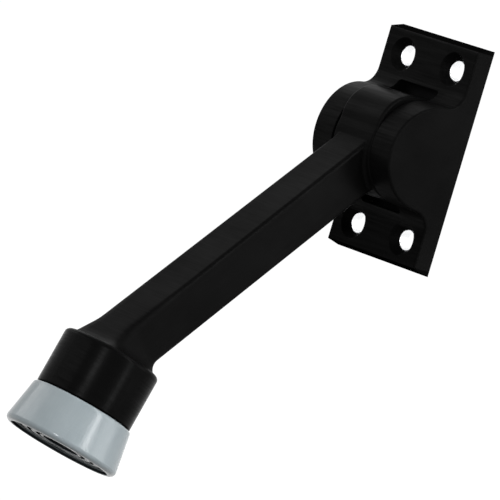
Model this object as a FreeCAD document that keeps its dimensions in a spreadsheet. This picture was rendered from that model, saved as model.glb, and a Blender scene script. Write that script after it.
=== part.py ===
import FreeCAD, Part
import math
import os
import re

import Sketcher

# Kickdown door holder: a plate with two lugs screws to a door, a lever turns on
# a pin between the lugs, and a rubber tip at the end of the lever grips the floor.
# X points out of the door, Y to the right seen from the front, Z up.
# The origin is on the door, in the middle of the back of the plate.

# Driving sizes in millimetres and degrees.
SIZES = {
    # Door plate
    "plate_height": 59.0,
    "plate_width": 35.5,
    "plate_thick": 4.8,
    "side_draft": 7.0,
    "end_draft": 13.5,
    "edge_round": 0.6,
    # Lugs
    "lug_x": 8.4,
    "lug_z": -0.85,
    "lug_radius": 13.5,
    "lug_blend": 5.0,
    # Slot between the lugs
    "slot_width": 15.5,
    "slot_top": 16.0,
    "slot_bottom": 16.4,
    "slot_corner": 1.0,
    # Screw holes
    "screw_pitch_y": 19.05,
    "screw_pitch_z": 44.45,
    "screw_bore": 5.15,
    "sink_width": 8.8,
    "sink_angle": 82.0,
    # Hinge
    "pivot_inset": 9.9,
    "pivot_z": 3.8,
    "pin_width": 6.0,
    "pin_play": 0.03,
    "pin_reach": 13.2,
    "pin_sink": 0.3,
    "pin_bevel": 0.4,
    "hub_play": 0.06,
    # Leaf spring behind the hub
    "spring_length": 36.0,
    "spring_thick": 0.7,
    "spring_bow": 0.4,
    "spring_gap": 0.2,
    "recess_depth": 2.0,
    # Hub of the lever
    "hub_gap": 0.3,
    "hub_round": 0.8,
    "hub_blend": 1.0,
    "hub_crease": 4.0,
    "toe_reach": 5.9,
    "heel_reach": 4.2,
    # Arm of the lever
    "arm_angle": 45.5,
    "arm_drop": 2.55,
    "arm_thick": 12.6,
    "arm_width": 11.4,
    "arm_spread": 1.7,
    "arm_round": 1.0,
    "arm_reach": 109.7,
    "arm_seat": 9.2,
    "flare_length": 9.0,
    "flare_round": 8.0,
    "flare_angle": 18.0,
    # Cup at the end of the arm
    "cup_tilt": 27.3,
    "cup_drop": 9.8,
    "cup_width": 25.8,
    "cup_length": 15.1,
    "cup_bevel": 0.4,
    "cup_round": 1.2,
    "cup_blend": 2.8,
    "cavity_width": 19.0,
    "cavity_depth": 5.0,
    # Rubber tip
    "tip_height": 11.8,
    "tip_top_width": 27.0,
    "tip_end_width": 30.3,
    "tip_top_round": 0.8,
    "tip_end_round": 1.3,
    "tip_gap": 0.3,
    "dish_width": 25.4,
    "dish_depth": 0.7,
    "ring_width": 1.1,
    "ring_depth": 1.2,
    "ring_pitch": 2.5,
    "ring_reach": 11.9,
    "well_width": 9.8,
    "well_floor": 3.5,
    # Screw and washer of the tip
    "screw_width": 4.0,
    "screw_length": 15.5,
    "screw_play": 0.05,
    "screw_bevel": 0.5,
    "washer_thick": 1.0,
    "washer_gap": 0.4,
    "washer_play": 0.15,
    "head_width": 7.4,
    "head_height": 2.6,
    "head_round": 1.4,
    "drive_width": 1.0,
    "drive_length": 4.2,
    "drive_depth": 1.2,
}

RING_COUNT = 3

# Sizes that follow from the driving ones.
DERIVED = {
    "half_height": "plate_height / 2",
    "half_width": "plate_width / 2",
    "front_height": "half_height - plate_thick * tan(end_draft)",
    "nose_x": "lug_x + lug_radius",
    "waste_x": "2 * nose_x",
    "waste_width": "plate_width",
    "pivot_x": "nose_x - pivot_inset",
    "blend_x": "plate_thick + lug_blend",
    "blend_span": "lug_radius + lug_blend",
    "blend_rise": "sqrt(blend_span^2 - (blend_x - lug_x)^2)",
    "join_x": "lug_x + (blend_x - lug_x) * lug_radius / blend_span",
    "join_rise": "blend_rise * lug_radius / blend_span",
    "slot_half": "slot_width / 2",
    "recess_half_length": "spring_length / 2 + spring_gap",
    "pin_left": "half_width - (pivot_x + pin_width / 2) * tan(side_draft) - pin_sink",
    # Leaf spring
    "spring_width": "slot_width - 2 * spring_gap",
    "spring_end": "spring_length / 2",
    "spring_half": "slot_top - spring_gap",
    "spring_radius": "(spring_half^2 + spring_bow^2) / (2 * spring_bow)",
    "spring_back": "recess_depth - spring_thick",
    # Hub outline seen from the pivot: lug circle, heel, toe and what touches the hub
    "hub_width": "slot_width - 2 * hub_gap",
    "hub_radius": "pivot_x - recess_depth - spring_bow - hub_gap",
    "ear_x": "lug_x - pivot_x",
    "ear_z": "lug_z - pivot_z",
    "ear_span": "sqrt(ear_x^2 + ear_z^2)",
    "crease_span": "hub_radius + hub_crease",
    "crease_reach": "lug_radius + hub_crease",
    "crease_far": "(ear_span^2 + crease_span^2 - crease_reach^2) / (2 * ear_span)",
    "crease_side": "sqrt(crease_span^2 - crease_far^2)",
    "crease_x": "(crease_far * ear_x - crease_side * ear_z) / ear_span",
    "crease_z": "(crease_far * ear_z + crease_side * ear_x) / ear_span",
    "crease_top_x": "crease_x * hub_radius / crease_span",
    "crease_top_z": "crease_z * hub_radius / crease_span",
    "crease_low_x": "ear_x + (crease_x - ear_x) * lug_radius / crease_reach",
    "crease_low_z": "ear_z + (crease_z - ear_z) * lug_radius / crease_reach",
    "toe_square": "toe_reach^2 + hub_radius^2",
    "toe_x": "-2 * hub_radius^2 * toe_reach / toe_square",
    "toe_z": "hub_radius * (hub_radius^2 - toe_reach^2) / toe_square",
    "heel_z": "ear_z - sqrt(lug_radius^2 - (heel_reach + ear_x)^2)",
    "heel_square": "heel_reach^2 + heel_z^2",
    "heel_line": "sqrt(heel_square - hub_radius^2)",
    "heel_x": "hub_radius * (heel_line * heel_z - hub_radius * heel_reach) / heel_square",
    "heel_top": "hub_radius * (hub_radius * heel_z + heel_line * heel_reach) / heel_square",
    # Arm and cup, along the arm and across it
    "arm_half": "arm_thick / 2",
    "arm_end": "arm_reach - arm_seat",
    "flare_start": "arm_end - flare_length",
    "flare_half": "(arm_width + arm_spread * flare_start / arm_end) / 2",
    "bend_x": "flare_start + flare_round * sin(flare_angle)",
    "bend_y": "flare_half + flare_round * (1 - cos(flare_angle))",
    "flare_y": "bend_y + (arm_end - bend_x) * tan(flare_angle)",
    "cup_lean": "arm_angle + cup_tilt - 90",
    "cup_x": "arm_reach * cos(arm_angle) - cup_drop * sin(arm_angle)",
    "cup_z": "-arm_reach * sin(arm_angle) - cup_drop * cos(arm_angle)",
    "cup_half": "cup_width / 2",
    "cavity_half": "cavity_width / 2",
    # Tip, screw and washer, up from the rim of the cup
    "tip_top_half": "tip_top_width / 2",
    "tip_end_half": "tip_end_width / 2",
    "dish_half": "dish_width / 2",
    "well_half": "well_width / 2",
    "face_z": "dish_depth - tip_height",
    "screw_half": "screw_width / 2",
    "head_half": "head_width / 2",
    "head_seat": "-well_floor - washer_thick",
    "head_end": "head_seat - head_height",
    "screw_end": "head_seat + screw_length",
}


def make_sheet(doc):
    """Spreadsheet that holds every driving and derived size under its name."""
    sheet = doc.addObject("Spreadsheet::Sheet", "sizes")
    cells = list(SIZES.items()) + [(name, "=" + text) for name, text in DERIVED.items()]
    for row, (name, value) in enumerate(cells, 1):
        sheet.set("A%d" % row, name)
        sheet.set("B%d" % row, str(value))
        sheet.setAlias("B%d" % row, name)
    doc.recompute()
    return sheet


def bound(text):
    """Expression in which each size is looked up in the sheet."""
    return re.sub(r"[a-z]\w+", lambda word: "sizes." + word[0]
                  if word[0] in SIZES or word[0] in DERIVED else word[0], str(text))


def value(item, text):
    """Present value of an expression of sizes."""
    return float(item.evalExpression(bound(text)))


def drive(item, path, text):
    """Tie a property of an object to an expression of sizes."""
    item.setExpression(path, bound(text))


def new_body(doc, name, base=("0", "0", "0"), lean=None):
    """Body at a driven place, turned about Y by a driven angle."""
    body = doc.addObject("PartDesign::Body", name)
    body.Label = name
    if lean:
        body.Placement.Rotation = FreeCAD.Rotation(FreeCAD.Vector(0, 1, 0), value(body, lean))
        drive(body, "Placement.Rotation.Angle", lean)
    for axis, text in zip("xyz", base):
        if text != "0":
            drive(body, "Placement.Base." + axis, text)
    return body


def new_sketch(body, name, plane, base=("0", "0", "0"), turn=None, axis=(0, 0, 1)):
    """Sketch on an origin plane of the body, shifted and turned by driven amounts."""
    sketch = body.newObject("Sketcher::SketchObject", name)
    origin = [item for item in body.Origin.OriginFeatures if item.Role == plane]
    sketch.AttachmentSupport = [(origin[0], "")]
    sketch.MapMode = "FlatFace"
    if turn:
        rotation = FreeCAD.Rotation(FreeCAD.Vector(*axis), value(sketch, turn))
        sketch.AttachmentOffset = FreeCAD.Placement(FreeCAD.Vector(), rotation)
        drive(sketch, "AttachmentOffset.Rotation.Angle", turn)
    for letter, text in zip("xyz", base):
        if text != "0":
            drive(sketch, "AttachmentOffset.Base." + letter, text)
    return sketch


def pin_point(sketch, shape, spot, x, y):
    """Hold one point of a sketch shape at driven coordinates."""
    for kind, text in (("DistanceX", x), ("DistanceY", y)):
        number = sketch.addConstraint(
            Sketcher.Constraint(kind, -1, 1, shape, spot, value(sketch, text)))
        drive(sketch, "Constraints[%d]" % number, text)


def draw_outline(sketch, corners):
    """Closed outline; a corner is x, y and, where an arc leaves it, radius and turn."""
    spots = [FreeCAD.Vector(value(sketch, c[0]), value(sketch, c[1]), 0) for c in corners]
    ends = []
    for index, corner in enumerate(corners):
        start, stop = spots[index], spots[(index + 1) % len(spots)]
        if len(corner) == 2:
            shape = sketch.addGeometry(Part.LineSegment(start, stop))
            ends.append((shape, 1, 2))
            continue
        radius, turn = value(sketch, corner[2]), corner[3]
        half = (stop - start) / 2
        rise = math.sqrt(max(radius ** 2 - half.Length ** 2, 0))
        side = FreeCAD.Vector(-half.y, half.x, 0).normalize() * (rise * turn)
        centre = start + half + side
        first, last = (start, stop) if turn > 0 else (stop, start)
        angles = [math.atan2(p.y - centre.y, p.x - centre.x) for p in (first, last)]
        if angles[1] < angles[0]:
            angles[1] += 2 * math.pi
        circle = Part.Circle(centre, FreeCAD.Vector(0, 0, 1), radius)
        shape = sketch.addGeometry(Part.ArcOfCircle(circle, *angles))
        number = sketch.addConstraint(Sketcher.Constraint("Radius", shape, radius))
        drive(sketch, "Constraints[%d]" % number, corner[2])
        ends.append((shape, 1, 2) if turn > 0 else (shape, 2, 1))
    for index, corner in enumerate(corners):
        shape, first, last = ends[index]
        following = ends[(index + 1) % len(ends)]
        sketch.addConstraint(
            Sketcher.Constraint("Coincident", shape, last, following[0], following[1]))
        pin_point(sketch, shape, first, corner[0], corner[1])


def draw_circles(sketch, centres, width):
    """Circles of one driven width at driven centres."""
    for x, y in centres:
        middle = FreeCAD.Vector(value(sketch, x), value(sketch, y), 0)
        circle = Part.Circle(middle, FreeCAD.Vector(0, 0, 1), value(sketch, width) / 2)
        shape = sketch.addGeometry(circle)
        number = sketch.addConstraint(
            Sketcher.Constraint("Diameter", shape, value(sketch, width)))
        drive(sketch, "Constraints[%d]" % number, width)
        pin_point(sketch, shape, 3, x, y)


def box_corners(left, bottom, right, top):
    """Corners of a plain rectangle."""
    return [(left, bottom), (right, bottom), (right, top), (left, top)]


def soft_corners(half, bottom, top, radius):
    """Corners of an upright rectangle with rounded corners, centred on x = 0."""
    inner = "%s - %s" % (half, radius)
    low, high = "%s + %s" % (bottom, radius), "%s - %s" % (top, radius)
    return [
        ("-(%s)" % inner, bottom), (inner, bottom, radius, 1),
        (half, low), (half, high, radius, 1),
        (inner, top), ("-(%s)" % inner, top, radius, 1),
        ("-(%s)" % half, high), ("-(%s)" % half, low, radius, 1),
    ]


def add_feature(body, kind, name, sketch, modes=None, **sizes):
    """Feature made from a sketch, with plain modes and driven sizes."""
    feature = body.newObject("PartDesign::" + kind, name)
    feature.Profile = sketch
    for key, mode in (modes or {}).items():
        setattr(feature, key, mode)
    for key, text in sizes.items():
        drive(feature, key, text)
    body.Document.recompute()
    return feature


def revolve(body, kind, name, sketch):
    """Full turn of a sketch about its own upright axis, added or cut."""
    axis = {"ReferenceAxis": (sketch, ["V_Axis"]), "Angle": 360}
    return add_feature(body, kind, name, sketch, axis)


def round_edges(body, name, radius, wanted):
    """Fillet of the edges that a test picks out of the body as it stands."""
    base = body.Tip
    names = ["Edge%d" % number for number, edge in enumerate(base.Shape.Edges, 1)
             if all(wanted(point) for point in edge.discretize(7))]
    feature = body.newObject("PartDesign::Fillet", name)
    feature.Base = (base, names)
    drive(feature, "Radius", radius)
    body.Document.recompute()
    return feature


SYMMETRIC = {"SideType": "Symmetric"}
THROUGH = {"Type": "ThroughAll", "Reversed": True}
CLOSE = 0.01


def near(one, other):
    """True where two lengths agree closely."""
    return abs(one - other) < CLOSE


def make_bracket(doc, size):
    """Door plate with its two lugs, slot, spring recess, screw holes and pin hole."""
    body = new_body(doc, "bracket")
    profile = new_sketch(body, "side_profile", "XZ_Plane")
    draw_outline(profile, [
        ("0", "half_height"),
        ("plate_thick", "front_height"),
        ("plate_thick", "lug_z + blend_rise", "lug_blend", 1),
        ("join_x", "lug_z + join_rise", "lug_radius", -1),
        ("nose_x", "lug_z", "lug_radius", -1),
        ("join_x", "lug_z - join_rise", "lug_blend", 1),
        ("plate_thick", "lug_z - blend_rise"),
        ("plate_thick", "-front_height"),
        ("0", "-half_height"),
    ])
    add_feature(body, "Pad", "block", profile, SYMMETRIC, Length="plate_width")

    waste = new_sketch(body, "side_waste", "XY_Plane")
    for sign in ("", "-"):
        draw_outline(waste, [
            ("0", sign + "half_width"),
            ("0", sign + "waste_width"),
            ("waste_x", sign + "waste_width"),
            ("waste_x", sign + "(half_width - waste_x * tan(side_draft))"),
        ])
    add_feature(body, "Pocket", "side_tapers", waste, SYMMETRIC, Length="2 * plate_height")

    side_slope = math.tan(math.radians(size("side_draft")))
    end_slope = math.tan(math.radians(size("end_draft")))

    def outer(point):
        side = near(abs(point.y), size("half_width") - point.x * side_slope)
        end = near(abs(point.z), size("half_height") - point.x * end_slope)
        return point.x > size("plate_thick") - CLOSE and (side or end)

    round_edges(body, "front_rounds", "edge_round", outer)

    slot = new_sketch(body, "slot_outline", "YZ_Plane")
    draw_outline(slot, soft_corners("slot_half", "-slot_bottom", "slot_top", "slot_corner"))
    add_feature(body, "Pocket", "slot", slot, THROUGH)

    recess = new_sketch(body, "recess_outline", "YZ_Plane")
    draw_outline(recess, box_corners("-slot_half", "-recess_half_length",
                                     "slot_half", "recess_half_length"))
    add_feature(body, "Pocket", "recess", recess, {"Reversed": True}, Length="recess_depth")

    screws = new_sketch(body, "screw_centres", "YZ_Plane", ("0", "0", "plate_thick"))
    centres = [(y + "screw_pitch_y / 2", z + "screw_pitch_z / 2")
               for y in ("-", "") for z in ("-", "")]
    draw_circles(screws, centres, "screw_bore")
    sink = {"DepthType": "ThroughAll", "HoleCutType": "Countersink",
            "HoleCutCustomValues": True}
    add_feature(body, "Hole", "screw_holes", screws, sink, Diameter="screw_bore",
                HoleCutDiameter="sink_width", HoleCutCountersinkAngle="sink_angle")

    pin = new_sketch(body, "pin_circle", "XZ_Plane", ("0", "0", "-pin_reach - pin_sink"))
    draw_circles(pin, [("pivot_x", "pivot_z")], "pin_width + 2 * pin_play")
    add_feature(body, "Pocket", "pin_hole", pin, THROUGH)


def make_pin(doc):
    """Pin from just inside the left lug into a blind hole in the right lug."""
    body = new_body(doc, "hinge_pin", ("pivot_x", "0", "pivot_z"))
    half = new_sketch(body, "pin_profile", "XY_Plane")
    draw_outline(half, [
        ("0", "-pin_left"),
        ("pin_width / 2 - pin_bevel", "-pin_left"),
        ("pin_width / 2", "-pin_left + pin_bevel"),
        ("pin_width / 2", "pin_reach - pin_bevel"),
        ("pin_width / 2 - pin_bevel", "pin_reach"),
        ("0", "pin_reach"),
    ])
    revolve(body, "Revolution", "pin", half)


def make_spring(doc):
    """Leaf spring: flat ends on the recess floor, bowed forward towards the hub."""
    body = new_body(doc, "leaf_spring")
    side = new_sketch(body, "spring_profile", "XZ_Plane")
    draw_outline(side, [
        ("recess_depth", "spring_end"),
        ("recess_depth", "spring_half", "spring_radius", -1),
        ("recess_depth", "-spring_half"),
        ("recess_depth", "-spring_end"),
        ("spring_back", "-spring_end"),
        ("spring_back", "-spring_half", "spring_radius", 1),
        ("spring_back", "spring_half"),
        ("spring_back", "spring_end"),
    ])
    add_feature(body, "Pad", "leaf", side, SYMMETRIC, Length="spring_width")


def make_lever(doc, size):
    """Hub, square arm and cup of the lever, drawn from the pivot."""
    body = new_body(doc, "lever", ("pivot_x", "0", "pivot_z"))
    cosine = math.cos(math.radians(size("arm_angle")))
    sine = math.sin(math.radians(size("arm_angle")))

    top = new_sketch(body, "arm_outline", "XY_Plane",
                     ("-arm_drop * sin(arm_angle)", "0", "-arm_drop * cos(arm_angle)"),
                     "arm_angle", (0, 1, 0))
    draw_outline(top, [
        ("0", "-arm_width / 2"),
        ("flare_start", "-flare_half", "flare_round", -1),
        ("bend_x", "-bend_y"),
        ("arm_end", "-flare_y"),
        ("arm_end", "flare_y"),
        ("bend_x", "bend_y", "flare_round", -1),
        ("flare_start", "flare_half"),
        ("0", "arm_width / 2"),
    ])
    add_feature(body, "Pad", "arm", top, SYMMETRIC, Length="arm_thick")

    def long_edge(point):
        across = point.x * sine + point.z * cosine + size("arm_drop")
        along = point.x * cosine - point.z * sine
        return near(abs(across), size("arm_half")) and abs(point.y) > size("arm_width") / 2 \
            - CLOSE and -CLOSE <= along <= size("arm_end") + CLOSE

    round_edges(body, "arm_rounds", "arm_round", long_edge)

    outline = new_sketch(body, "hub_outline", "XZ_Plane")
    draw_outline(outline, [
        ("-toe_reach", "hub_radius"),
        ("0", "hub_radius", "hub_radius", -1),
        ("crease_top_x", "crease_top_z", "hub_crease", 1),
        ("crease_low_x", "crease_low_z", "lug_radius", -1),
        ("-heel_reach", "heel_z"),
        ("heel_x", "heel_top", "hub_radius", -1),
        ("toe_x", "toe_z"),
    ])
    add_feature(body, "Pad", "hub", outline, SYMMETRIC, Length="hub_width")

    def reach(point, x, z):
        return math.hypot(point.x - size(x), point.z - size(z))

    def on_front(point):
        ear = near(reach(point, "ear_x", "ear_z"), size("lug_radius"))
        crease = near(reach(point, "crease_x", "crease_z"), size("hub_crease"))
        top = size("crease_top_z") if crease else size("crease_low_z")
        return (ear or crease) and point.z < top + CLOSE

    def on_top(point):
        arc = near(math.hypot(point.x, point.z), size("hub_radius"))
        flat = near(point.z, size("hub_radius"))
        return (arc or flat) and point.z > size("crease_top_z") - CLOSE

    def hub_joint(point):
        return on_front(point) and abs(point.y) < size("hub_width") / 2 - CLOSE

    def hub_edge(point):
        side = near(abs(point.y), size("hub_width") / 2)
        return side and (on_top(point) or on_front(point))

    round_edges(body, "hub_blends", "hub_blend", hub_joint)
    round_edges(body, "hub_rounds", "hub_round", hub_edge)

    half = new_sketch(body, "cup_profile", "XZ_Plane", ("cup_x", "cup_z", "0"), "-cup_lean")
    draw_outline(half, [
        ("0", "0"),
        ("cup_half - cup_bevel", "0"),
        ("cup_half", "cup_bevel"),
        ("cup_half", "cup_length - cup_round", "cup_round", 1),
        ("cup_half - cup_round", "cup_length"),
        ("0", "cup_length"),
    ])
    revolve(body, "Revolution", "cup", half)

    lean = math.radians(-size("cup_lean"))

    def cup_joint(point):
        x, z = point.x - size("cup_x"), point.z - size("cup_z")
        height = z * math.cos(lean) - x * math.sin(lean)
        spread = math.hypot(x * math.cos(lean) + z * math.sin(lean), point.y)
        return near(height, size("cup_length")) and spread < size("cup_half") - \
            size("cup_round") - CLOSE

    round_edges(body, "cup_blends", "cup_blend", cup_joint)

    hollow = new_sketch(body, "cavity_profile", "XZ_Plane", ("cup_x", "cup_z", "0"), "-cup_lean")
    draw_outline(hollow, [
        ("0", "0"),
        ("cavity_half", "0"),
        ("cavity_half", "cavity_depth"),
        ("screw_half + screw_play", "cavity_depth"),
        ("screw_half + screw_play", "screw_end + tip_gap"),
        ("0", "screw_end + tip_gap"),
    ])
    revolve(body, "Groove", "cavity", hollow)

    bore = new_sketch(body, "bore_circle", "XZ_Plane")
    draw_circles(bore, [("0", "0")], "pin_width + 2 * hub_play")
    add_feature(body, "Pocket", "pin_bore", bore, SYMMETRIC, Length="slot_width")


def cup_body(doc, name):
    """Body whose origin is the middle of the rim of the cup, with Z up the cup."""
    return new_body(doc, name, ("pivot_x + cup_x", "0", "pivot_z + cup_z"), "cup_lean")


def make_tip(doc):
    """Rubber tip with a stem in the cup, ring grooves and a well for the screw."""
    body = cup_body(doc, "rubber_tip")
    half = new_sketch(body, "tip_profile", "XZ_Plane")
    draw_outline(half, [
        ("screw_half + tip_gap", "cavity_depth - tip_gap"),
        ("cavity_half - tip_gap", "cavity_depth - tip_gap"),
        ("cavity_half - tip_gap", "0"),
        ("tip_top_half - tip_top_round", "0", "tip_top_round", -1),
        ("tip_top_half", "-tip_top_round"),
        ("tip_end_half", "-tip_height + tip_end_round", "tip_end_round", -1),
        ("tip_end_half - tip_end_round", "-tip_height"),
        ("dish_half + dish_depth", "-tip_height"),
        ("dish_half", "face_z"),
        ("well_half", "face_z"),
        ("well_half", "-well_floor"),
        ("screw_half + tip_gap", "-well_floor"),
    ])
    revolve(body, "Revolution", "tip", half)
    for number in range(RING_COUNT):
        outer = "ring_reach - %d * ring_pitch" % number
        ring = new_sketch(body, "ring_profile_%d" % number, "XZ_Plane")
        draw_outline(ring, box_corners(outer + " - ring_width", "-tip_height",
                                       outer, "face_z + ring_depth"))
        revolve(body, "Groove", "ring_%d" % number, ring)


def make_washer(doc):
    """Flat washer on the floor of the well."""
    body = cup_body(doc, "tip_washer")
    half = new_sketch(body, "washer_profile", "XZ_Plane")
    draw_outline(half, box_corners("screw_half + washer_play", "head_seat",
                                   "well_half - washer_gap", "-well_floor"))
    revolve(body, "Revolution", "washer", half)


def make_screw(doc):
    """Pan head screw through washer and tip into the cup, with a cross drive."""
    body = cup_body(doc, "tip_screw")
    half = new_sketch(body, "screw_profile", "XZ_Plane")
    draw_outline(half, [
        ("0", "screw_end"),
        ("screw_half - screw_bevel", "screw_end"),
        ("screw_half", "screw_end - screw_bevel"),
        ("screw_half", "head_seat"),
        ("head_half", "head_seat"),
        ("head_half", "head_end + head_round", "head_round", -1),
        ("head_half - head_round", "head_end"),
        ("0", "head_end"),
    ])
    revolve(body, "Revolution", "screw", half)
    cross = new_sketch(body, "drive_outline", "XY_Plane", ("0", "0", "head_end"))
    narrow, wide = "drive_width / 2", "drive_length / 2"
    quarter = [(narrow, wide), (narrow, narrow), (wide, narrow)]
    corners = []
    for x_sign, y_sign, order in (("", "", 1), ("", "-", -1), ("-", "-", 1), ("-", "", -1)):
        corners += [(x_sign + x, y_sign + y) for x, y in quarter[::order]]
    draw_outline(cross, corners)
    add_feature(body, "Pocket", "drive", cross, {"Reversed": True}, Length="drive_depth")


def check(doc):
    """Stop if any object failed or any body has no sound solid."""
    for item in doc.Objects:
        if {"Invalid", "Error"} & set(item.State):
            raise ValueError("%s: %s" % (item.Name, item.State))
    for body in doc.findObjects("PartDesign::Body"):
        shape = body.Shape
        if shape.isNull() or not shape.isValid() or len(shape.Solids) != 1:
            raise ValueError(body.Label)


def main():
    doc = FreeCAD.newDocument("door_holder")
    sheet = make_sheet(doc)
    make_bracket(doc, sheet.get)
    make_pin(doc)
    make_spring(doc)
    make_lever(doc, sheet.get)
    make_tip(doc)
    make_washer(doc)
    make_screw(doc)
    doc.recompute()
    check(doc)
    os.makedirs("parts", exist_ok=True)
    for body in doc.findObjects("PartDesign::Body"):
        body.Shape.exportStep("parts/%s.step" % body.Label)


main()
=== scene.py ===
import math

import bpy
from mathutils import Matrix, Vector

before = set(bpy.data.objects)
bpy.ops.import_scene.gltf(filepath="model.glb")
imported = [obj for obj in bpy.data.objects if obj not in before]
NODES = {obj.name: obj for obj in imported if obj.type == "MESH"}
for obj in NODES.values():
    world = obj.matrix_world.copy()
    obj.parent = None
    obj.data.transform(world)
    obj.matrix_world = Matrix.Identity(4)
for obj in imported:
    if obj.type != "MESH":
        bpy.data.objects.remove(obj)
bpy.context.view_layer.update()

MM = 0.001

# Places on the part, in millimetres and degrees
SCREW_PITCH = (19.05, 44.45)
PIVOT = (12.0, 0.0, 3.8)
ARM_ANGLE = 45.5
CUP_RIM = (81.9, 0.0, -81.3)
CUP_LEAN = -17.2

# Zones of a finish: the two places, in millimetres, between which each one fades
# On the plate: its height, where painted shade takes the sheen off the end faces and the low
# flange, and the distance from a screw
TOP_END = (28.2, 28.4)
BOTTOM_END = (-28.25, -27.95)
LOW_FLANGE = (-20.0, -17.0)
SCREW_HOLE = (2.615, 2.675)
# On the lever: the distance from the pivot along the arm, and the height over the cup's rim
HUB_REACH = (13.0, 16.0)
ARM_REACH = (66.0, 98.0)
CUP_TOP = (14.5, 14.9)
# On the tip, for the painted shade in the dish, its wall and its grooves: the distance from
# its axis, and the height over the cup's rim
DISH_EDGE = (12.72, 12.8)
DISH_WALL = (13.2, 13.6)
WALL_HEIGHT = (-10.9, -10.6)
GROOVE_HEIGHT = (-11.05, -10.9)

# Grain, in features a metre
BRUSH = 2600
CUP_BRUSH = 3200
BLACK_CLOUDS = 90
BARE_STAIN = 400
STEEL_BRUSH = 3000
STEEL_STAIN = 260
RUBBER_STREAKS = 4200
RUBBER_CLOUDS = 140
FLOOR_GRAIN = 3.0

# How far the grain is drawn out: it is longest along the smallest number
ACROSS = (1.0, 0.03, 1.0)
OUTWARD = (0.05, 1.0, 1.0)
ALONG_ARM = (0.04, 1.0, 1.0)
TURNED = (1.0, 1.0, 0.3)

# Grain round the cup and the tip: metres that a radian counts for, and share of the height
CUP_TURN = 0.0004
RING_TURN = 0.0006
STREAK_TURN = 0.012
STREAK_HEIGHT = 0.08

# Noise between these two tones takes a finish from its dark to its light end
TONES = (0.3, 0.7)

# Black finish: colours, sheen, share of the lines in its tone, relief of the lines
BLACK_DARK = (0.0017, 0.0017, 0.0017)
BLACK_LIGHT = (0.0038, 0.0038, 0.0038)
BLACK_SHEEN = (0.009, 0.029)
LINE_SHARE = 0.8
LINE_RELIEF = (0.3, 0.00004)

# How strongly brush lines show on the black
PLATE_LINES = 0.65
PLATE_SIDE_LINES = 0.16
HUB_LINES = 0.38
ARM_LINES = 0.4
ARM_SIDE_LINES = 0.15
CUP_LINES = 0.55

# Roughness of the black at its dark and light ends
PLATE_ROUGH = (0.5, 0.41)
PLATE_SIDE_ROUGH = (0.36, 0.3)
HUB_ROUGH = (0.43, 0.34)
ARM_ROUGH = (0.36, 0.28)
CUP_ROUGH = (0.34, 0.17)

# Painted shade: sheen taken off where the black faces down, as two tilts and the loss at each
PLATE_UNDER_SHADE = (-0.9, -0.3, 0.8, 0.0)
LEVER_UNDER_SHADE = (-0.75, -0.2, 0.75, 0.0)

# Painted shade: sheen taken off the plate below its lugs
LOW_FLANGE_SHADE = 0.4

# Tilt at which a face counts as one of the part's left and right sides
SIDE_TILT = (0.75, 0.95)

# Radius of sharp edges as light sees them, in metres
BLACK_EDGE = 0.0003
ARM_END_EDGE = 0.0034
RUBBER_EDGE = 0.0002

# Bare metal in the screw holes
BARE_DARK = (0.85, 0.86, 0.87)
BARE_LIGHT = (0.95, 0.95, 0.96)
BARE_ROUGH = (0.3, 0.2)

# Rubber: colours, roughness, sheen and relief, and the painted shade that darkens the dish,
# its wall and its grooves and takes their sheen
RUBBER_DARK = (0.272, 0.318, 0.339)
RUBBER_LIGHT = (0.318, 0.365, 0.385)
RUBBER_ROUGH = (0.27, 0.12)
RUBBER_SHEEN = 0.38
RUBBER_RELIEF = (0.3, 0.00005)
STREAK_SHARE = 0.35
DISH_SHADE_LEVEL = 0.4
DISH_SHEEN = 0.06
GROOVE_SHADE_LEVEL = 0.1
GROOVE_ROUGH = 0.9

# Floor and studio: white where seen, and dim to soft light
FLOOR_Z = -0.1105
FLOOR_REACH = 90.0
FLOOR_TONE = (0.34, 0.36)
FLOOR_GLOW = 1.2
FLOOR_SEEN = 0.85
FLOOR_SOFT = 0.2
WORLD_LOW = 0.04
WORLD_HIGH = 0.36
WORLD_BELOW = -0.2

# Lamps: azimuth, elevation, distance, width, height and power
LAMP_TARGET = (0.05, 0.0, -0.04)
LAMPS = {
    "front_strip": (34, 5, 1.3, 0.24, 1.05, 10.3),
    "side_strip": (98, 16, 1.3, 0.24, 1.6, 13),
    "left_box": (-40, 25, 1.5, 2.2, 0.4, 6),
    "right_box": (130, 6, 1.5, 0.8, 1.0, 7.5),
    "back_box": (140, 52, 1.5, 0.7, 0.5, 4),
    "top_box": (-112, 37, 1.5, 0.8, 0.7, 1.9),
}

# Camera found from the photograph
CAMERA_PLACE = (0.88514, 0.94999, 0.04507)
CAMERA_TURN = (
    (-0.72962, 0.17315, 0.66157),
    (0.62213, -0.23358, 0.74726),
    (0.28392, 0.95680, 0.06270),
)
CAMERA_LENS = 368.42
CAMERA_SENSOR = 36.0
CAMERA_CLIP = (0.05, 200.0)


def rgba(red, green, blue):
    return (red, green, blue, 1.0)


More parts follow.
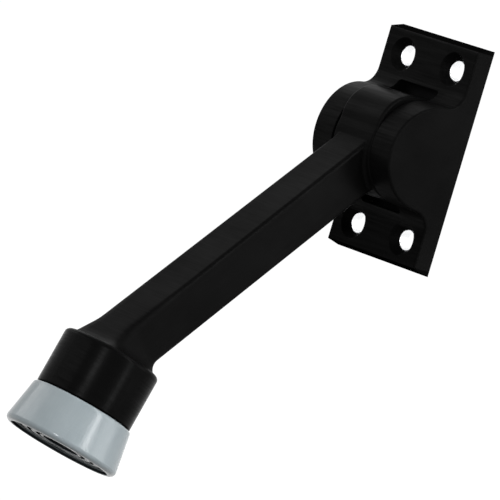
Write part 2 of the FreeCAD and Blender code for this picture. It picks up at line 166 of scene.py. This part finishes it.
class Nodes:
    """Node tree of a material or of the world, with short calls for the nodes in use."""

    def __init__(self, owner, output):
        owner.use_nodes = True
        self.owner = owner
        self.tree = owner.node_tree
        self.tree.nodes.clear()
        self.output = self.node(output)

    def node(self, kind, **settings):
        node = self.tree.nodes.new(kind)
        for key, setting in settings.items():
            setattr(node, key, setting)
        return node

    def link(self, source, target):
        self.tree.links.new(source, target)

    def feed(self, socket, source):
        """Set a socket to a plain value or link it to another node's output."""
        if isinstance(source, bpy.types.NodeSocket):
            self.link(source, socket)
        else:
            socket.default_value = source

    def math(self, operation, first, second=0.0):
        node = self.node("ShaderNodeMath", operation=operation)
        self.feed(node.inputs[0], first)
        self.feed(node.inputs[1], second)
        return node.outputs[0]

    def times(self, first, second):
        return self.math("MULTIPLY", first, second)

    def largest(self, first, *others):
        for other in others:
            first = self.math("MAXIMUM", first, other)
        return first

    def length(self, first, second):
        """Length of the arrow that has these two parts."""
        square = self.math("ADD", self.times(first, first), self.times(second, second))
        return self.math("SQRT", square)

    def split(self, vector):
        node = self.node("ShaderNodeSeparateXYZ")
        self.link(vector, node.inputs[0])
        return node.outputs

    def join(self, x, y, z):
        node = self.node("ShaderNodeCombineXYZ")
        for socket, source in zip(node.inputs, (x, y, z)):
            self.feed(socket, source)
        return node.outputs[0]

    def mix(self, factor, first, second):
        """The first where the factor is zero and the second where it is one."""
        node = self.node("ShaderNodeMix", data_type="FLOAT")
        self.feed(node.inputs[0], factor)
        self.feed(node.inputs[2], first)
        self.feed(node.inputs[3], second)
        return node.outputs[0]

    def spread(self, source, low, high, out_low=0.0, out_high=1.0, shape="SMOOTHSTEP"):
        """Take the source from between low and high to between two other values."""
        node = self.node("ShaderNodeMapRange", interpolation_type=shape)
        self.link(source, node.inputs["Value"])
        for key, value in (("From Min", low), ("From Max", high),
                           ("To Min", out_low), ("To Max", out_high)):
            self.feed(node.inputs[key], value)
        return node.outputs["Result"]

    def seen(self):
        """One to the camera, reflections and clear glass, and zero to soft light."""
        path = self.node("ShaderNodeLightPath").outputs
        return self.largest(path["Is Camera Ray"], path["Is Glossy Ray"],
                            path["Is Transmission Ray"])

    def blend(self, factor, first, second):
        """As mix, for surfaces."""
        node = self.node("ShaderNodeMixShader")
        for socket, source in zip(node.inputs, (factor, first, second)):
            self.link(source, socket)
        return node.outputs[0]

    def finish(self, surface):
        self.link(surface, self.output.inputs["Surface"])
        return self.owner


class Finish(Nodes):
    """Material of one piece."""

    def __init__(self, name):
        super().__init__(bpy.data.materials.new(name), "ShaderNodeOutputMaterial")

    def position(self):
        """Place on the CAD node in metres, in the frame of the part."""
        return self.node("ShaderNodeTexCoord").outputs["Object"]

    def normal(self):
        """The three parts of the direction that the surface faces."""
        return self.split(self.node("ShaderNodeTexCoord").outputs["Normal"])

    def local(self, base, lean):
        """Place seen from a point of the part, turned about Y."""
        node = self.node("ShaderNodeMapping", vector_type="TEXTURE")
        self.link(self.position(), node.inputs["Vector"])
        node.inputs["Location"].default_value = [value * MM for value in base]
        node.inputs["Rotation"].default_value = (0, math.radians(lean), 0)
        return node.outputs[0]

    def above(self, source, low, high):
        """Zero up to the lower place and one from the higher, both in millimetres."""
        return self.spread(source, low * MM, high * MM)

    def below(self, source, low, high, most=1.0):
        """Most up to the lower place and zero from the higher, both in millimetres."""
        return self.spread(source, low * MM, high * MM, most, 0.0)

    def sides(self, normal):
        """One on the faces at the part's left and right."""
        return self.spread(self.math("ABSOLUTE", normal[1]), *SIDE_TILT)

    def noise(self, vector, scale, detail=2.0, rough=0.5):
        node = self.node("ShaderNodeTexNoise")
        self.link(vector, node.inputs["Vector"])
        node.inputs["Scale"].default_value = scale
        node.inputs["Detail"].default_value = detail
        node.inputs["Roughness"].default_value = rough
        return node.outputs["Fac"]

    def lines(self, vector, stretch, scale):
        """Noise drawn out along some axes into brush lines."""
        node = self.node("ShaderNodeMapping")
        self.link(vector, node.inputs["Vector"])
        node.inputs["Scale"].default_value = stretch
        return self.noise(node.outputs[0], scale, 3.0, 0.6)

    def weigh(self, first, share, second):
        """Sum of two noises, in which the first has a share of the whole."""
        return self.math("ADD", self.times(first, share), self.times(second, 1.0 - share))

    def ramp(self, factor, places, colours):
        node = self.node("ShaderNodeValToRGB")
        self.link(factor, node.inputs[0])
        for element, place, colour in zip(node.color_ramp.elements, places, colours):
            element.position = place
            element.color = rgba(*colour)
        return node.outputs["Color"]

    def tint(self, colour, level):
        node = self.node("ShaderNodeVectorMath", operation="MULTIPLY")
        self.link(colour, node.inputs[0])
        self.link(self.join(level, level, level), node.inputs[1])
        return node.outputs["Vector"]

    def bevel(self, radius):
        node = self.node("ShaderNodeBevel", samples=4)
        self.feed(node.inputs["Radius"], radius)
        return node.outputs[0]

    def bump(self, height, strength, distance, normal=None):
        node = self.node("ShaderNodeBump")
        self.link(height, node.inputs["Height"])
        node.inputs["Strength"].default_value = strength
        node.inputs["Distance"].default_value = distance
        if normal is not None:
            self.link(normal, node.inputs["Normal"])
        return node.outputs[0]

    def surface(self, colour, roughness, normal=None, sheen=0.5, metallic=0.0):
        shader = self.node("ShaderNodeBsdfPrincipled")
        self.feed(shader.inputs["Base Color"], colour)
        self.feed(shader.inputs["Roughness"], roughness)
        self.feed(shader.inputs["Specular IOR Level"], sheen)
        shader.inputs["Metallic"].default_value = metallic
        if normal is not None:
            self.link(normal, shader.inputs["Normal"])
        return shader.outputs[0]


def satin_black(shader, brush, depth, edge, painted_shade, rough):
    """Black finish whose tone, gloss and relief follow brush lines and soft clouds.

    Depth is how strongly the lines show, edge how far edges are rounded, and the shade mask
    where painted shade takes the sheen away.
    """
    lines = shader.mix(depth, 0.5, brush)
    clouds = shader.noise(shader.position(), BLACK_CLOUDS)
    tone = shader.weigh(lines, LINE_SHARE, clouds)
    colour = shader.ramp(tone, TONES, (BLACK_DARK, BLACK_LIGHT))
    gloss = shader.spread(tone, *TONES, *rough)
    # Painted shade: the sheen goes where the shade mask is one
    sheen = shader.mix(painted_shade, shader.spread(tone, *TONES, *BLACK_SHEEN), 0.0)
    relief = shader.bump(lines, *LINE_RELIEF, shader.bevel(edge))
    return shader.surface(colour, gloss, relief, sheen)


def bare_metal(shader, brush):
    """Bright metal, which the black finish doesn't reach."""
    stain = shader.noise(shader.position(), BARE_STAIN)
    colour = shader.ramp(stain, TONES, (BARE_DARK, BARE_LIGHT))
    return shader.surface(colour, shader.spread(brush, *TONES, *BARE_ROUGH), metallic=1.0)


def bracket_finish():
    """Brushed across on the front, smoother on the sides, bare metal in the screw holes, with
    painted shade that takes the sheen off the end faces, the faces looking down and the front
    below the lugs.
    """
    shader = Finish("black_bracket")
    place = shader.position()
    y, z = shader.split(place)[1:]
    normal = shader.normal()
    side = shader.sides(normal)
    across = shader.lines(place, ACROSS, BRUSH)
    outward = shader.lines(place, OUTWARD, BRUSH)

    # Painted shade: the end faces and the front below the lugs lose their sheen
    top = shader.above(z, *TOP_END)
    bottom = shader.below(z, *BOTTOM_END)
    # Painted shade: faces looking down lose their sheen
    under = shader.spread(normal[2], *PLATE_UNDER_SHADE)
    low = shader.below(z, *LOW_FLANGE, LOW_FLANGE_SHADE)
    painted_shade = shader.largest(top, bottom, under, shader.mix(side, low, 0.0))
    rough = [shader.mix(side, *pair) for pair in zip(PLATE_ROUGH, PLATE_SIDE_ROUGH)]
    depth = shader.mix(side, PLATE_LINES, PLATE_SIDE_LINES)
    black = satin_black(shader, shader.mix(side, across, outward), depth, BLACK_EDGE,
                        painted_shade, rough)

    from_screw = [shader.math("SUBTRACT", shader.math("ABSOLUTE", axis), pitch / 2 * MM)
                  for axis, pitch in zip((y, z), SCREW_PITCH)]
    hole = shader.below(shader.length(*from_screw), *SCREW_HOLE)
    return shader.finish(shader.blend(hole, black, bare_metal(shader, across)))


def lever_finish():
    """Brushed across on the hub and arm, and round the cup, with painted shade that takes the
    sheen off the faces looking down.
    """
    shader = Finish("black_lever")
    normal = shader.normal()
    side = shader.sides(normal)
    arm_place = shader.local(PIVOT, ARM_ANGLE)
    distance = shader.split(arm_place)[0]
    on_hub = shader.below(distance, *HUB_REACH)
    across = shader.lines(shader.position(), ACROSS, BRUSH)
    along = shader.lines(arm_place, ALONG_ARM, BRUSH)

    cup = shader.split(shader.local(CUP_RIM, CUP_LEAN))
    on_cup = shader.below(cup[2], *CUP_TOP)
    turn = shader.math("ARCTAN2", cup[1], cup[0])
    around = shader.noise(shader.join(shader.times(turn, CUP_TURN), 0.0, cup[2]),
                          CUP_BRUSH, 3.0, 0.65)

    brush = shader.mix(on_cup, shader.mix(side, across, along), around)
    depth = shader.mix(side, shader.mix(on_hub, ARM_LINES, HUB_LINES), ARM_SIDE_LINES)
    edge = shader.spread(distance, ARM_REACH[0] * MM, ARM_REACH[1] * MM,
                         BLACK_EDGE, ARM_END_EDGE)
    # Painted shade: faces looking down lose their sheen
    under = shader.spread(normal[2], *LEVER_UNDER_SHADE)
    rough = [shader.mix(on_cup, shader.mix(on_hub, arm, hub), cup_rough)
             for arm, hub, cup_rough in zip(ARM_ROUGH, HUB_ROUGH, CUP_ROUGH)]
    return shader.finish(satin_black(shader, brush, shader.mix(on_cup, depth, CUP_LINES),
                                     shader.mix(on_cup, edge, BLACK_EDGE), under, rough))


def steel_finish(name, dark, light, roughness, metallic=0.9, sheen=0.5):
    """Steel with fine turning marks and a little staining."""
    shader = Finish(name)
    place = shader.position()
    marks = shader.lines(place, TURNED, STEEL_BRUSH)
    stain = shader.noise(place, STEEL_STAIN, 4.0)
    colour = shader.ramp(stain, (0.35, 0.65), (dark, light))
    gloss = shader.spread(marks, *TONES, roughness + 0.08, roughness - 0.06)
    relief = shader.bump(marks, 0.2, 0.00003)
    return shader.finish(shader.surface(colour, gloss, relief, sheen, metallic))


def rubber_finish():
    """Light blue-grey rubber, streaked down the side, with painted shade that darkens the
    dish, its wall and its grooves.
    """
    shader = Finish("grey_rubber")
    tip = shader.split(shader.local(CUP_RIM, CUP_LEAN))
    turn = shader.math("ARCTAN2", tip[1], tip[0])
    down = shader.join(shader.times(turn, STREAK_TURN), 0.0,
                       shader.times(tip[2], STREAK_HEIGHT))
    streaks = shader.noise(down, RUBBER_STREAKS, 3.0, 0.6)
    rings = shader.noise(shader.join(shader.times(turn, RING_TURN), 0.0, tip[2]), BRUSH)
    clouds = shader.noise(shader.position(), RUBBER_CLOUDS, 3.0)
    grey = shader.ramp(shader.weigh(streaks, STREAK_SHARE, clouds), TONES,
                       (RUBBER_DARK, RUBBER_LIGHT))

    reach = shader.length(tip[0], tip[1])
    dish = shader.below(reach, *DISH_EDGE)
    wall = shader.times(shader.above(reach, *DISH_EDGE), shader.below(reach, *DISH_WALL))
    wall = shader.times(wall, shader.below(tip[2], *WALL_HEIGHT))
    groove = shader.times(dish, shader.above(tip[2], *GROOVE_HEIGHT))
    # Painted shade: the dish is darkened and loses its sheen, its wall and grooves darker
    # still
    dark = shader.largest(wall, groove)

    level = shader.mix(dark, shader.mix(dish, 1.0, DISH_SHADE_LEVEL), GROOVE_SHADE_LEVEL)
    gloss = shader.mix(dark, shader.spread(rings, 0.35, 0.65, *RUBBER_ROUGH), GROOVE_ROUGH)
    relief = shader.bump(shader.math("ADD", streaks, rings), *RUBBER_RELIEF,
                         shader.bevel(RUBBER_EDGE))
    sheen = shader.mix(dark, shader.mix(dish, RUBBER_SHEEN, DISH_SHEEN), 0.0)
    return shader.finish(shader.surface(shader.tint(grey, level), gloss, relief, sheen))


def backdrop_finish():
    """White to the camera and to reflections, with the object's shadow kept on it."""
    shader = Finish("white_floor")
    pale = shader.spread(shader.noise(shader.position(), FLOOR_GRAIN), 0.0, 1.0, *FLOOR_TONE)
    soft = shader.node("ShaderNodeLightPath").outputs["Is Diffuse Ray"]
    level = shader.times(pale, shader.mix(soft, 1.0, FLOOR_SOFT))
    shade = shader.node("ShaderNodeBsdfDiffuse")
    shader.link(shader.join(level, level, level), shade.inputs["Color"])
    glow = shader.node("ShaderNodeEmission")
    glow.inputs["Strength"].default_value = FLOOR_GLOW
    return shader.finish(shader.blend(shader.times(shader.seen(), FLOOR_SEEN),
                                      shade.outputs[0], glow.outputs[0]))


def dress(node, material):
    """Give a CAD node its finish."""
    mesh = NODES[node].data
    mesh.materials.clear()
    mesh.materials.append(material)


def make_floor():
    mesh = bpy.data.meshes.new("floor")
    corners = [(x * FLOOR_REACH, y * FLOOR_REACH, FLOOR_Z)
               for x, y in ((-1, -1), (1, -1), (1, 1), (-1, 1))]
    mesh.from_pydata(corners, [], [(0, 1, 2, 3)])
    mesh.materials.append(backdrop_finish())
    floor = bpy.data.objects.new("floor", mesh)
    bpy.context.scene.collection.objects.link(floor)


def make_world():
    """Dim studio, lighter overhead, that is white where the camera or a reflection sees it."""
    sky = Nodes(bpy.data.worlds.new("studio"), "ShaderNodeOutputWorld")
    height = sky.split(sky.node("ShaderNodeTexCoord").outputs["Generated"])[2]
    level = sky.spread(height, WORLD_BELOW, 1.0, WORLD_LOW, WORLD_HIGH, "LINEAR")
    back = sky.node("ShaderNodeBackground")
    back.inputs["Color"].default_value = rgba(1.0, 1.0, 1.0)
    sky.link(sky.mix(sky.seen(), level, 1.0), back.inputs["Strength"])
    bpy.context.scene.world = sky.finish(back.outputs[0])


def make_lamp(name, azimuth, elevation, distance, width, height, power):
    """Soft box that faces the part, placed by its direction from the part."""
    lamp = bpy.data.lights.new(name, "AREA")
    lamp.shape = "RECTANGLE"
    lamp.size, lamp.size_y = width, height
    lamp.energy = power
    item = bpy.data.objects.new(name, lamp)
    turn, lift = math.radians(azimuth), math.radians(elevation)
    away = Vector((math.cos(turn) * math.cos(lift), math.sin(turn) * math.cos(lift),
                   math.sin(lift)))
    item.location = Vector(LAMP_TARGET) + away * distance
    item.rotation_euler = away.to_track_quat("Z", "Y").to_euler()
    bpy.context.scene.collection.objects.link(item)


def make_camera():
    data = bpy.data.cameras.new("camera")
    data.lens = CAMERA_LENS
    data.sensor_width = CAMERA_SENSOR
    data.clip_start, data.clip_end = CAMERA_CLIP
    camera = bpy.data.objects.new("camera", data)
    camera.matrix_world = Matrix.Translation(CAMERA_PLACE) @ Matrix(CAMERA_TURN).to_4x4()
    bpy.context.scene.collection.objects.link(camera)
    bpy.context.scene.camera = camera


bpy.context.scene.view_settings.view_transform = "Standard"

dress("bracket", bracket_finish())
dress("lever", lever_finish())
dress("hinge_pin", steel_finish("black_pin", (0.008, 0.008, 0.0084),
                                (0.018, 0.018, 0.0188), 0.34))
# The spring is black steel, darkened further and left almost without sheen as painted shade in
# the recess behind the hub
dress("leaf_spring", steel_finish("black_spring", (0.002, 0.002, 0.0021),
                                  (0.005, 0.005, 0.0052), 0.5, metallic=0.0, sheen=0.012))
dress("rubber_tip", rubber_finish())
dress("tip_washer", steel_finish("steel_washer", (0.30, 0.30, 0.31), (0.42, 0.42, 0.43), 0.3))
dress("tip_screw", steel_finish("steel_screw", (0.26, 0.26, 0.27), (0.38, 0.38, 0.39), 0.3))

make_floor()
make_world()
for lamp_name, lamp_setting in LAMPS.items():
    make_lamp(lamp_name, *lamp_setting)
make_camera()
